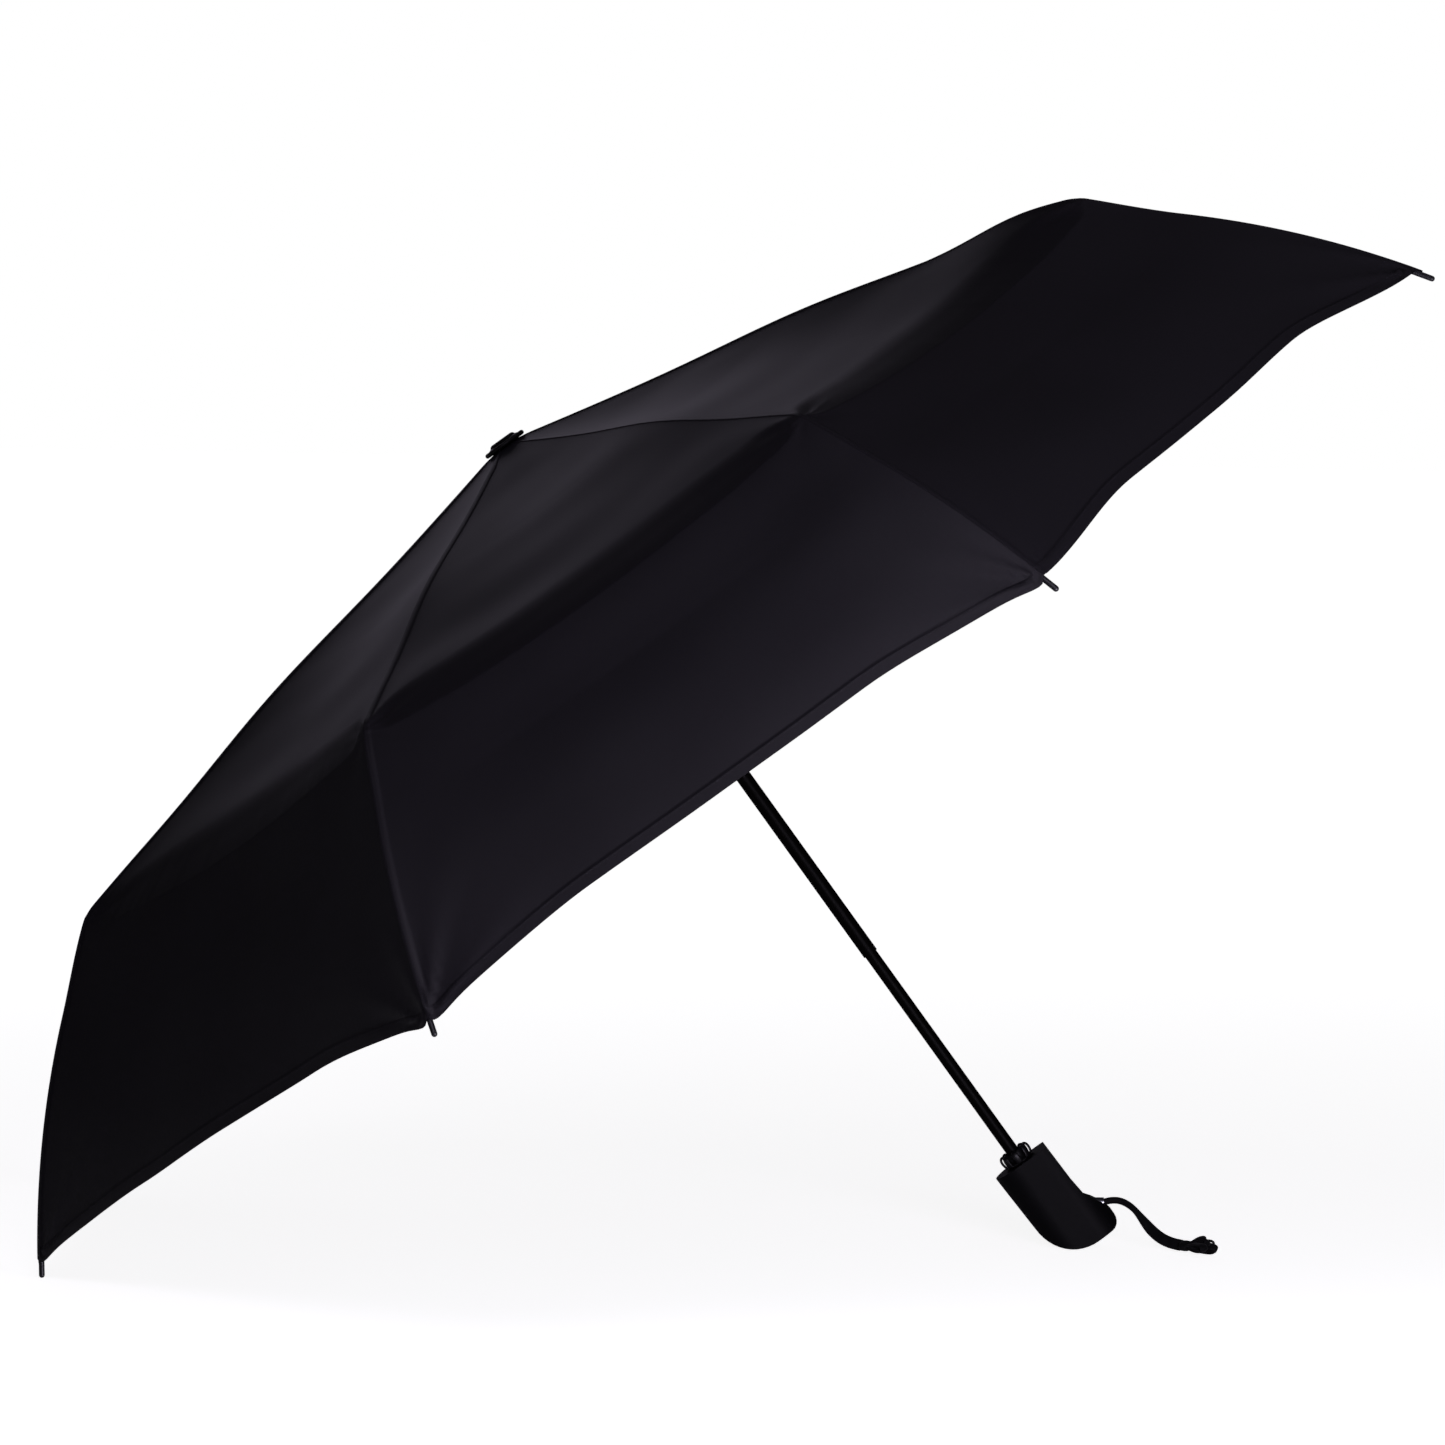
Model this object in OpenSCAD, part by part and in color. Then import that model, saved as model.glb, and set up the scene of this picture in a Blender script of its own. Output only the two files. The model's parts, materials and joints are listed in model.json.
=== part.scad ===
/* [Ribs] */
// Length of each upper rib, crown hinge to middle hinge
upper_rib_l = 183; // [150:1:220]
// Length of each middle rib, middle hinge to knee
middle_rib_l = 180; // [150:1:182]
// Straight distance from the knee to the tip of an outer rib
outer_rib_l = 202; // [170:1:204]
// Slope of the upper and middle ribs below level, open
roof_slope = 11.9; // [6:0.1:18]
// Slope of an outer rib where it leaves the knee
skirt_slope = 34; // [28:0.5:40]
// How much further an outer rib has bent down at its tip
skirt_bend = 21; // [10:0.5:26]
// Width of a rib bar, side to side
rib_w = 2.0; // [1.6:0.1:2.4]
// Height of a rib bar
rib_t = 2.6; // [2:0.1:2.8]
// Distance of the middle and knee hinges from the ribs' centre lines
hinge_offset = 1.6; // [1.5:0.05:2]
// Radius of the rivets in the rib hinges
rivet_r = 0.6; // [0.5:0.05:0.7]
// Length of the round tip on each outer rib
tip_l = 12; // [8:1:16]
// Radius of the round tip
tip_r = 1.6; // [1.2:0.1:2]

/* [Stretchers] */
// Distance of the stretcher's pivot from the crown hinge
stretcher_at = 80; // [70:1:86]
// Depth of the stretcher hinges below the crown hinges, open
runner_drop = 45; // [40:1:52]
// Distance from the upper tube to the stretcher hinges
runner_hinge_out = 2.4; // [2.3:0.1:2.8]
// Thickness of each side plate of a stretcher
plate_w = 0.6; // [0.5:0.1:0.8]
// Gap between a side plate and the rib it straddles
plate_gap = 0.4; // [0.3:0.05:0.5]

/* [Crown and runner] */
// Distance from the upper tube to the rib hinges
crown_hinge_out = 5.8; // [5.6:0.1:6.4]
// How far the crown reaches past the rib hinges
crown_rim = 1.2; // [1:0.1:1.4]
// Depth of the rib hinges below the top of the canopy
crown_drop = 7.4; // [7:0.1:10]
// Radius of the wires that the ribs and stretchers turn on
wire_r = 0.6; // [0.5:0.05:0.7]
// How far the runner's collar reaches past the stretcher hinges
runner_rim = 1.6; // [1.4:0.1:1.8]
// Wall of the runner's sleeve
sleeve_wall = 2.92; // [2.5:0.02:3.1]
// Length of the runner below its hinges
runner_l = 32; // [20:1:34]
// Outer radius of the cap, over its rolled rim
cap_r = 13.4; // [12.6:0.1:14.2]
// Radius of the flat top of the cap
cap_top_r = 7.2; // [6:0.1:8]
// Height of the cap above the top of the canopy
cap_h = 2.8; // [2.4:0.1:4]
// Radius of the cap's rolled rim
cap_rim_r = 1.4; // [1.1:0.1:1.5]

/* [Shaft] */
// Distance from the top of the canopy to the top of the handle, open
shaft_l = 515; // [500:1:560]
// Outer radius of the upper tube
tube_r = 5.2; // [5:0.1:5.4]
// Wall of each tube
tube_wall = 0.6; // [0.5:0.05:0.7]
// Radial gap between a tube and the one that slides on it
tube_fit = 0.08; // [0.05:0.01:0.1]
// How far each tube slides into the next
tube_travel = 148; // [120:1:148]
// How far the middle tube stays inside the upper one, open
upper_overlap = 28; // [20:1:30]
// How far the lower tube stays inside the middle one, open
lower_overlap = 20; // [15:1:24]

/* [Handle] */
// Width of the handle at its top
handle_w = 34.5; // [30:0.5:40]
// Depth of the handle, front to back
handle_d = 30; // [28:0.5:36]
// Length of the handle
handle_l = 62.6; // [60:0.2:70]
// Radius of the handle's round heel
heel_r = 26; // [20:0.5:27]
// How far the toe stands out from the shaft's axis
toe_out = 27; // [24:0.5:30]
// Wall of the handle
handle_wall = 2.4; // [1.8:0.1:3]
// Height of the tip holder above the handle
holder_h = 8; // [6:0.5:9]
// Wall of the tip holder
holder_wall = 3; // [2.6:0.1:3.8]
// Radius of the push button
button_r = 5.5; // [4.5:0.1:6.5]
// How far the push button stands out
button_out = 2.6; // [2:0.1:3.4]
// How far the push button travels
button_travel = 2; // [1:0.1:2]
// Radius of the handle's screws
screw_r = 1.2; // [1:0.1:1.4]

/* [Canopy] */
// Height of the fabric's inner side above the ribs' centre lines
canopy_gap = 4.2; // [4.1:0.1:5]
// Thickness of the fabric, doubled for its seams
canopy_t = 0.8; // [0.6:0.1:1]
// How far the hem rises between two ribs
hem_rise = 10; // [6:1:20]
// How far each tip stands out past the fabric
tip_bare = 8; // [5:0.5:11]
// Distance from the upper tube to the edge of the fabric at the top
canopy_hole_gap = 1.4; // [1:0.1:1.8]

/* [Hidden] */
RIBS = 8;
function names(stem) = [for (i = [1:RIBS]) str(stem, "_", i)];
$fn = 32;
step = 360 / RIBS;
gap = 0.15; // side play of a hinge
eye_r = 1.3; // radius of an eye around a wire or a rivet
eye_hole_r = wire_r + 0.12;
rivet_hole_r = rivet_r + 0.08;
fork_w = rib_w + 2 * gap; // gap of a fork over a rib's tongue
fork_out = fork_w + 1.6; // width over a fork
stretcher_in = rib_w + 2 * plate_gap;
stretcher_out = stretcher_in + 2 * plate_w;
hinge_clear = 2.0; // how far a bar starts from its hinge
crown_hinge_r = tube_r + crown_hinge_out;
crown_r = crown_hinge_r + crown_rim;
runner_hinge_r = tube_r + runner_hinge_out;
runner_r = runner_hinge_r + runner_rim;
neck_l = hinge_clear + 0.6; // from a bar into its tongue

// Ribs, in the plane of one rib: x is the distance from the shaft, z the height
function dir(slope) = [cos(slope), -sin(slope)];
function up(slope) = [sin(slope), cos(slope)];
crown_hinge = [crown_hinge_r, -crown_drop];
middle_hinge = crown_hinge + upper_rib_l * dir(roof_slope) + hinge_offset * up(roof_slope);
knee_end = crown_hinge + (upper_rib_l + middle_rib_l) * dir(roof_slope);
knee_hinge = knee_end - hinge_offset * up(roof_slope);
skirt_start = knee_hinge + hinge_offset * up(skirt_slope);
skirt_r = outer_rib_l / (2 * sin(skirt_bend / 2));
skirt_centre = skirt_start - skirt_r * up(skirt_slope);
function skirt_at(slope) = skirt_centre + skirt_r * up(slope);
tip = skirt_at(skirt_slope + skirt_bend);
stretcher_top = crown_hinge + stretcher_at * dir(roof_slope);
runner_hinge = [runner_hinge_r, -crown_drop - runner_drop];
stretcher_l = norm(stretcher_top - runner_hinge);

// Shaft, from the top of the canopy down
wall_gap = tube_wall + tube_fit;
middle_r = tube_r - wall_gap;
lower_r = middle_r - wall_gap;
runner_bore = tube_r + tube_fit;
sleeve_r = runner_bore + sleeve_wall;
holder_bore = tube_r + 0.4;
holder_r = holder_bore + holder_wall;
canopy_hole_r = tube_r + canopy_hole_gap;
post_r = lower_r + 3; // post around the lower tube in the handle
upper_end = shaft_l - 2 * tube_travel - 2; // both travels and a stop
middle_top = upper_end - upper_overlap;
middle_end = upper_end + tube_travel;
lower_top = middle_end - lower_overlap;
plug_l = 4;
stem_l = 9; // stem of the cap in the upper tube

// Handle, measured from the shaft's axis and down from the handle's top
heel = [heel_r - 0.45 * handle_w, heel_r - handle_l];
tube_in_handle = handle_l - 28;
handle_joint = 0.1; // between the handle's two halves

// The umbrella lies on two rib tips and the heel of its handle
half_step = step / 2;
rest_tip = [-tip[0] * cos(half_step), tip[1]];
heel_at = [heel[0], heel[1] - shaft_l];
rest_line = heel_at - rest_tip;
lean = atan2(-rest_line[1], rest_line[0]) + asin((heel_r - tip_r) / norm(rest_line));
lift = tip_r - (rest_tip[0] * sin(lean) + rest_tip[1] * cos(lean));
middle_x = -tip[1] * sin(lean); // halfway between the left and right tips

module lying() translate([-middle_x, 0, lift]) rotate([0, -lean, 0]) children();
module on_rib(i) lying() rotate([0, 0, half_step + (i - 1) * step]) children();
module bar(from, slope, l, w, t) translate([from[0], 0, from[1]])
    rotate([0, slope, 0]) translate([0, -w / 2, -t / 2]) cube([l, w, t]);
module across(at, r, w) translate([at[0], 0, at[1]]) rotate([90, 0, 0])
    cylinder(h = w, r = r, center = true);
module ring(r, wire) rotate_extrude($fn = 64) translate([r, 0]) circle(r = wire, $fn = 20);
module tube(top, end, r, wall) translate([0, 0, -end]) difference() {
    cylinder(h = end - top, r = r, $fn = 48);
    translate([0, 0, -1]) cylinder(h = end - top + 2, r = r - wall, $fn = 48);
}

module upper_rib(i) color("dimgray") on_rib(i) {
    neck = middle_hinge - neck_l * dir(roof_slope);
    difference() {
        union() {
            bar(crown_hinge, roof_slope, upper_rib_l - hinge_clear, rib_w, rib_t);
            across(crown_hinge, eye_r, rib_w);
            bar(neck - hinge_offset / 2 * up(roof_slope), roof_slope,
                neck_l, rib_w, hinge_offset + 0.2);
            across(middle_hinge, rivet_r + 0.6, rib_w);
            across(middle_hinge, rivet_r, fork_out);
        }
        across(crown_hinge, eye_hole_r, 2 * rib_w);
    }
}

module fork(at, slope, to, side) difference() {
    union() {
        bar(at, slope, to, fork_out, 2 * eye_r - 0.2);
        across(at, eye_r, fork_out);
        bar(at + (to - 0.4) * dir(slope) + side * (hinge_offset - 0.15) * up(slope), slope,
            2, fork_out, 2 * eye_r + 0.1);
    }
    bar(at - 2 * eye_r * dir(slope), slope, to + 2 * eye_r, fork_w, 4 * eye_r);
    across(at, rivet_hole_r, 2 * fork_out);
}

module middle_rib(i) color("dimgray") on_rib(i) {
    fork_l = 4;
    from = middle_hinge + fork_l * dir(roof_slope) - hinge_offset * up(roof_slope);
    neck = knee_hinge - neck_l * dir(roof_slope);
    fork(middle_hinge, roof_slope, fork_l, -1);
    bar(from, roof_slope, middle_rib_l - fork_l - hinge_clear, rib_w, rib_t);
    bar(neck + hinge_offset / 2 * up(roof_slope), roof_slope,
        neck_l, rib_w, hinge_offset + 0.2);
    across(knee_hinge, rivet_r + 0.6, rib_w);
    across(knee_hinge, rivet_r, fork_out);
}

function arc(c, r, from, to, n) = [for (k = [0:n])
    c + r * [cos(from + (to - from) * k / n), sin(from + (to - from) * k / n)]];

module arc_bar(from, to, w, t) rotate([90, 0, 0]) linear_extrude(height = w, center = true)
    polygon(concat(arc(skirt_centre, skirt_r + t / 2, 90 - from, 90 - to, 20),
        arc(skirt_centre, skirt_r - t / 2, 90 - to, 90 - from, 20)));

module outer_rib(i) color("gray") on_rib(i) {
    fork_l = 4;
    end_slope = skirt_slope + skirt_bend;
    per_mm = 180 / PI / skirt_r;
    fork(knee_hinge, skirt_slope, fork_l, 1);
    arc_bar(skirt_slope + (fork_l + 0.5) * per_mm, end_slope - (tip_l - 1) * per_mm, rib_w, rib_t);
    translate([tip[0], 0, tip[1]]) rotate([0, end_slope - tip_l / 2 * per_mm - 90, 0])
        rotate_extrude($fn = 48)
        polygon(concat([[0, -tip_r * sin(78)]], arc([0, 0], tip_r, -78, 0, 6),
            [[tip_r, tip_l], [0, tip_l]]));
}

module stretcher(i) color("dimgray") on_rib(i) {
    slope = -atan2(stretcher_top[1] - runner_hinge[1], stretcher_top[0] - runner_hinge[0]);
    block = 8; // solid end at the runner
    start = 3.6;
    difference() {
        union() {
            bar(runner_hinge, slope, start + 1, rib_w, 2 * eye_r);
            across(runner_hinge, eye_r, rib_w);
            bar(runner_hinge + start * dir(slope), slope,
                stretcher_l - start, stretcher_out, 2 * eye_r);
            across(stretcher_top, eye_r + 0.4, stretcher_out);
        }
        bar(runner_hinge + block * dir(slope), slope, stretcher_l, stretcher_in, 4 * eye_r);
        across(runner_hinge, eye_hole_r, 2 * rib_w);
    }
}

module crown() color("black") lying() {
    below = 4;
    above = 3.6;
    roof = 1.9;
    slot_in = crown_hinge_r - eye_r - 0.3;
    difference() {
        translate([0, 0, -crown_drop - below]) cylinder(h = below + above, r = crown_r, $fn = 64);
        cylinder(h = 60, r = tube_r + 0.03, center = true, $fn = 48);
        for (i = [1:RIBS]) rotate([0, 0, half_step + i * step])
            translate([slot_in, -fork_w / 2, -crown_drop - below - 1])
                cube([crown_r, fork_w, below + 1 + roof]);
        translate([0, 0, -crown_drop]) ring(crown_hinge_r, wire_r + 0.04);
    }
}

module crown_wire() color("silver") lying() translate([0, 0, -crown_drop])
    ring(crown_hinge_r, wire_r);

module cap() color("black") lying() {
    rim = [cap_r - cap_rim_r, fabric_rise(cap_r - cap_rim_r) + cap_rim_r + 0.3];
    rotate_extrude($fn = 64) polygon(concat(
        [[0, -stem_l], [middle_r - 0.2, -stem_l], [middle_r - 0.2, 1.2], [canopy_hole_r - 0.4, 1.2]],
        arc(rim, cap_rim_r, -100, 130, 10),
        [[cap_top_r + 1.4, cap_h - 1.6], [cap_top_r + 0.5, cap_h - 0.4], [cap_top_r - 0.6, cap_h],
            [0, cap_h]]));
}

module upper_tube() color("black") lying() tube(-1, upper_end, tube_r, tube_wall);
module middle_tube() color("black") lying() tube(middle_top, middle_end, middle_r, tube_wall);
module lower_tube() color("black") lying()
    tube(lower_top, shaft_l + tube_in_handle, lower_r, tube_wall);

module middle_tube_plug() color("dimgray") lying() {
    translate([0, 0, -middle_top - plug_l])
        cylinder(h = plug_l, r = middle_r - tube_wall - 0.03, $fn = 48);
    translate([0, 0, -middle_top]) cylinder(h = 1.6, r = middle_r, $fn = 48);
}

// Wire along a list of points, as one closed surface
function ring_at(p, q, r, n, side) = let (
    t = (q - p) / norm(q - p), u = cross(t, side) / norm(cross(t, side)), v = cross(t, u))
    [for (k = [0:n - 1]) p + r * (cos(360 * k / n) * u + sin(360 * k / n) * v)];
module swept(path, r, n, side) {
    m = len(path);
    rings = [for (j = [0:m - 1]) each let (a = path[max(j - 1, 0)], b = path[min(j + 1, m - 1)])
        ring_at(path[j], path[j] + (b - a), r, n, side)];
    walls = [for (j = [0:m - 2], k = [0:n - 1]) let (l = (k + 1) % n)
        each quad(j * n + k, j * n + l, (j + 1) * n + l, (j + 1) * n + k)];
    start = [for (k = [0:n - 1]) n - 1 - k];
    end = [for (k = [0:n - 1]) (m - 1) * n + k];
    polyhedron(points = rings, faces = concat([start], walls, [end]));
}
function coil(r, top, l, turns, per) = [for (k = [0:turns * per])
    [r * cos(360 * k / per), r * sin(360 * k / per), top - l * k / (turns * per)]];

module drive_spring() color("silver") lying() {
    wire = 0.4;
    top = stem_l + wire + 0.3;
    swept(coil(middle_r - wire - 0.5, -top, middle_top - 1.6 - top - wire - 0.3, 18, 10),
        wire, 5, [0, 0, 1]);
}

module runner() color("black") lying() {
    collar = 4;
    slot_in = runner_hinge_r - eye_r - 0.1;
    grip = 5;
    translate([0, 0, runner_hinge[1]]) difference() {
        union() {
            translate([0, 0, 2 - collar - 2]) cylinder(h = collar + 2, r = runner_r, $fn = 64);
            translate([0, 0, -runner_l]) cylinder(h = runner_l, r = sleeve_r, $fn = 64);
        }
        cylinder(h = 3 * runner_l, r = runner_bore, center = true, $fn = 48);
        for (i = [1:RIBS]) rotate([0, 0, half_step + i * step])
            translate([slot_in, -fork_w / 2, -eye_r - 0.8]) cube([runner_r, fork_w, 3 * eye_r + 1]);
        ring(runner_hinge_r, wire_r + 0.04);
        for (k = [0:3]) translate([0, 0, -runner_l + grip + k * grip / 2]) ring(sleeve_r, 0.5);
    }
}

module runner_wire() color("silver") lying() translate([0, 0, runner_hinge[1]])
    ring(runner_hinge_r, wire_r);

// Fabric: a profile above a rib, given by its distance along the rib
roof_l = upper_rib_l + middle_rib_l;
hem_slope = skirt_slope + skirt_bend - tip_bare * 180 / PI / skirt_r;
kink = (roof_slope + skirt_slope) / 2;
function fabric_rise(r) = -crown_drop - (r - crown_hinge_r) * tan(roof_slope)
    + (canopy_gap + canopy_t) / cos(roof_slope);
function roof_point(r, h) = [r, -crown_drop - (r - crown_hinge_r) * tan(roof_slope)
    + h / cos(roof_slope)];
function knee_point(h) = knee_hinge + (hinge_offset + h) / cos(kink - roof_slope) * up(kink);
function profile(h) = concat(
    [for (r = [canopy_hole_r, 14, 60, 150, 250]) roof_point(r, h)],
    [knee_point(h)],
    [for (k = [1:6]) skirt_centre
        + (skirt_r + h) * up(skirt_slope + (hem_slope - skirt_slope) * k / 6)]);
function gore_point(p, s, a) = let (
    q = [p[0] * cos(a), p[0] * sin(a)], w = [p[0] * cos(a), -p[0] * sin(a)])
    [q[0], w[1] + (q[1] - w[1]) * s, p[1]];

function hem(p, above, s) = p + (above - p) * 4 * s * (1 - s) * hem_rise / norm(above - p);
function quad(a, b, c, d) = [[a, b, c], [a, c, d]];

side_gap = 0.1; // between two gores at their seam
function layer(h, n) = [for (j = [0:len(profile(h)) - 1], k = [0:n]) let (
    s = k / n, f = profile(h),
    p = j < len(f) - 1 ? f[j] : hem(f[j], f[j - 1], s),
    a = half_step - asin(side_gap / p[0])) gore_point(p, s, a)];

module canopy_gore(i) color([0.13, 0.12, 0.15]) lying() {
    n = 8;
    last = len(profile(0)) - 1;
    points = concat(layer(canopy_gap + canopy_t, n), layer(canopy_gap, n));
    row = n + 1;
    half = (last + 1) * row;
    top = [for (j = [0:last - 1], k = [0:n - 1]) each
        quad(j * row + k, j * row + k + 1, (j + 1) * row + k + 1, (j + 1) * row + k)];
    under = [for (t = top) [half + t[2], half + t[1], half + t[0]]];
    ends = [for (k = [0:n - 1]) each concat(
        quad(k + 1, k, half + k, half + k + 1),
        quad(last * row + k, last * row + k + 1, half + last * row + k + 1, half + last * row + k))];
    sides = [for (j = [0:last - 1]) each concat(
        quad(j * row, (j + 1) * row, half + (j + 1) * row, half + j * row),
        quad((j + 1) * row + n, j * row + n, half + j * row + n, half + (j + 1) * row + n))];
    rotate([0, 0, i * step]) polyhedron(points = points, faces = concat(top, under, ends, sides));
}

module handle_outline(inset) {
    w = handle_w / 2 - inset;
    toe = toe_out - inset;
    bottom = -handle_l + inset;
    polygon(concat(
        [[w, -inset], [-w, -inset]],
        arc(heel, heel_r - inset, 180, 270, 12),
        arc([toe - 6, bottom + 6], 6, 270, 360, 5),
        [[toe, -52], [toe - 2.4, -46], [toe - 5.2, -41.5], [toe - 8, -38], [w + 0.7, -27]]));
}

module handle_solid(inset) intersection() {
    rotate([90, 0, 0]) linear_extrude(height = 2 * handle_d, center = true)
        handle_outline(inset);
    translate([0, 0, -1.5 * handle_l]) linear_extrude(height = 2 * handle_l) {
        d = handle_d - 2 * inset;
        left = -handle_w / 2 + inset;
        translate([left + d / 2, 0]) circle(r = d / 2, $fn = 64);
        translate([toe_out - inset - d / 2, 0]) circle(r = d / 2, $fn = 64);
        translate([left + d / 2, -d / 2]) square([toe_out - inset - left - d, d]);
        translate([handle_w / 2 - inset - 6, -d / 2 + 2]) square([6, d - 4]);
    }
}

SCREWS = [[-8, -46], [12, -50]];
boss_r = 3.4;
eyelet_at = [toe_out - 1.6, -47.6];
module in_handle() lying() translate([0, 0, -shaft_l]) children();
module handle_body() difference() {
    handle_solid(0);
    difference() {
        handle_solid(handle_wall);
        translate([0, 0, -tube_in_handle - 3]) cylinder(h = handle_l, r = post_r, $fn = 48);
        for (s = SCREWS) across(s, boss_r, 2 * handle_d);
        translate([6, 0, -52]) rotate([0, -lean, 0]) rotate([0, 90, 0])
            cylinder(h = handle_w, r = 4.4);
    }
    translate([0, 0, -tube_in_handle]) cylinder(h = handle_l, r = lower_r + 0.04, $fn = 48);
    for (s = SCREWS) {
        across(s, screw_r + 0.1, handle_d - 5);
        translate([s[0], handle_d / 2, s[1]]) rotate([90, 0, 0])
            cylinder(h = 6.4, r = 2 * screw_r + 0.2, center = true);
    }
    translate([0, button_seat, button_z]) rotate([-90, 0, 0])
        cylinder(h = handle_d, r = button_r + 0.25, $fn = 48);
    strap_hole(eyelet_r);
}

button_z = -18;
button_seat = handle_d / 2 - 6.4;
module handle_front() color([0.1, 0.1, 0.11]) in_handle() difference() {
    handle_body();
    translate([-handle_w, -handle_joint / 2, -2 * handle_l])
        cube([3 * handle_w, handle_d, 3 * handle_l]);
}
module handle_back() color([0.1, 0.1, 0.11]) in_handle() difference() {
    handle_body();
    translate([-handle_w, handle_joint / 2 - handle_d, -2 * handle_l])
        cube([3 * handle_w, handle_d, 3 * handle_l]);
}

module handle_screws() color("silver") in_handle() for (s = SCREWS)
    translate([s[0], handle_d / 2 - 3.2, s[1]]) rotate([90, 0, 0]) {
        difference() {
            translate([0, 0, -2]) cylinder(h = 2, r = 2 * screw_r);
            translate([0, 0, -3]) cylinder(h = 2, r = screw_r * 0.8, $fn = 6);
        }
        cylinder(h = handle_d - 8, r = screw_r);
    }

module push_button() color("dimgray") in_handle() translate([0, 0, button_z]) rotate([-90, 0, 0]) {
    translate([0, 0, button_seat + button_travel + 0.4]) {
        cylinder(h = handle_d / 2 + button_out - button_seat - button_travel - 1.4,
            r = button_r, $fn = 48);
        cylinder(h = handle_d / 2 + button_out - button_seat - button_travel - 0.4,
            r = button_r - 1, $fn = 48);
    }
}

module button_spring() color("silver") in_handle() translate([0, 0, button_z]) rotate([-90, 0, 0]) {
    wire = 0.25;
    top = button_seat + button_travel + 0.4 - wire;
    swept(coil(3, top, top - post_r - wire - 0.11, 3, 14), wire, 5, [0, 0, 1]);
}

module tip_holder() color([0.1, 0.1, 0.11]) in_handle() {
    petal_w = 2.6;
    difference() {
        cylinder(h = holder_h, r = holder_r, $fn = 64);
        translate([0, 0, -1]) cylinder(h = holder_h + 2, r = holder_bore, $fn = 48);
        for (i = [1:RIBS]) rotate([0, 0, half_step + i * step]) {
            translate([0, 0, holder_h]) rotate([0, 90, 0])
                cylinder(h = 2 * holder_r, r = petal_w / 2);
            translate([holder_bore + 1.2, 0, 2]) cylinder(h = holder_h, r = petal_w / 2 + 0.2);
        }
    }
}

// Strap, in the lying frame: its route runs from the toe out over the floor
eyelet_r = 2.9;
strap_r = 2.0;
knot_l = 18;
knot_r = 4.2;
function lay(p) = [p[0] * cos(lean) - p[2] * sin(lean) - middle_x, p[1],
    p[0] * sin(lean) + p[2] * cos(lean) + lift];
strap_start = lay([eyelet_at[0], 0, eyelet_at[1] - shaft_l]);
strap_route = [for (p = [[0, 0, 0], [3, 0, 0.9], [6, 0, 1.3], [9, -0.5, 1.2], [12, -1.5, 0.4],
    [15, -3, -1.1], [18, -5, -3.4], [21, -7.5, -6.6], [24, -10.5, -10.2], [27, -13.5, -13.6],
    [30.5, -17, -16.6], [34.5, -20.5, -18.9], [39, -24, -20.3], [44, -27.5, -21]])
    strap_start + p];
module strap_hole(r) translate([eyelet_at[0], 0, eyelet_at[1]]) rotate([0, lean, 0])
    rotate([0, 90, 0]) translate([0, 0, -9]) cylinder(h = 18, r = r + 0.05);

module strap_eyelet() color("dimgray") translate(strap_start) rotate([0, 90, 0]) difference() {
    translate([0, 0, -9]) cylinder(h = 9.4, r = eyelet_r);
    translate([0, 0, -10]) cylinder(h = 12, r = eyelet_r - 0.6);
}
module wrist_strap() color([0.1, 0.1, 0.11]) swept(strap_route, strap_r, 8, [0, 1, 0]);
module strap_knot() color([0.1, 0.1, 0.11]) {
    end = strap_route[len(strap_route) - 1];
    translate(end) rotate([0, 0, -35]) rotate([0, 90, 0])
        translate([0, 0, 0.3]) cylinder(h = knot_l, r = knot_r);
}

for (i = [1:RIBS]) {
    upper_rib(i);
    middle_rib(i);
    outer_rib(i);
    stretcher(i);
    canopy_gore(i);
}
crown();
crown_wire();
cap();
upper_tube();
middle_tube();
middle_tube_plug();
drive_spring();
runner();
runner_wire();
lower_tube();
tip_holder();
handle_front();
handle_back();
handle_screws();
push_button();
button_spring();
strap_eyelet();
wrist_strap();
strap_knot();
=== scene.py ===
import json
import math

import bmesh
import bpy
import numpy as np
from mathutils import Matrix, Vector


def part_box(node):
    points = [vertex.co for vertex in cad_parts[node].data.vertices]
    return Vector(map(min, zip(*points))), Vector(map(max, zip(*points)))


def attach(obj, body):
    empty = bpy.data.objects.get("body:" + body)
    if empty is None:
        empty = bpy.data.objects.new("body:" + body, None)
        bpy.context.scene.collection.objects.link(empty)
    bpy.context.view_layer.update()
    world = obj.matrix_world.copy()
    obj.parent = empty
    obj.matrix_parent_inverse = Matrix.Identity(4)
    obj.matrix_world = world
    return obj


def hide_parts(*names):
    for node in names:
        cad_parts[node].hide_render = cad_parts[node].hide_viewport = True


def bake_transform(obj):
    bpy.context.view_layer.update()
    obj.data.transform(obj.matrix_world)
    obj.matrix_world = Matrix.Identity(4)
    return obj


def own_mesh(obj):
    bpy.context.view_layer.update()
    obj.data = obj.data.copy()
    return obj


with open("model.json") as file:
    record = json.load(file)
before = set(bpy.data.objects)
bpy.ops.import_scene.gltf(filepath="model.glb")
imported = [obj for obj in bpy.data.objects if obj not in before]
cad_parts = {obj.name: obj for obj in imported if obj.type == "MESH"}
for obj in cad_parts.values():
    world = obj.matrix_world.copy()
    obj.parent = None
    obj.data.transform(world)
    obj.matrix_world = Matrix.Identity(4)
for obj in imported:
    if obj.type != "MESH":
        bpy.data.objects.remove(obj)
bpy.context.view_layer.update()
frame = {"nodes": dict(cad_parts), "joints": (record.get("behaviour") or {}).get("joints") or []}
scene = bpy.context.scene
joints = {j["name"]: j for j in frame["joints"]}
nodes = frame["nodes"]
mm = 0.001

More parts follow.
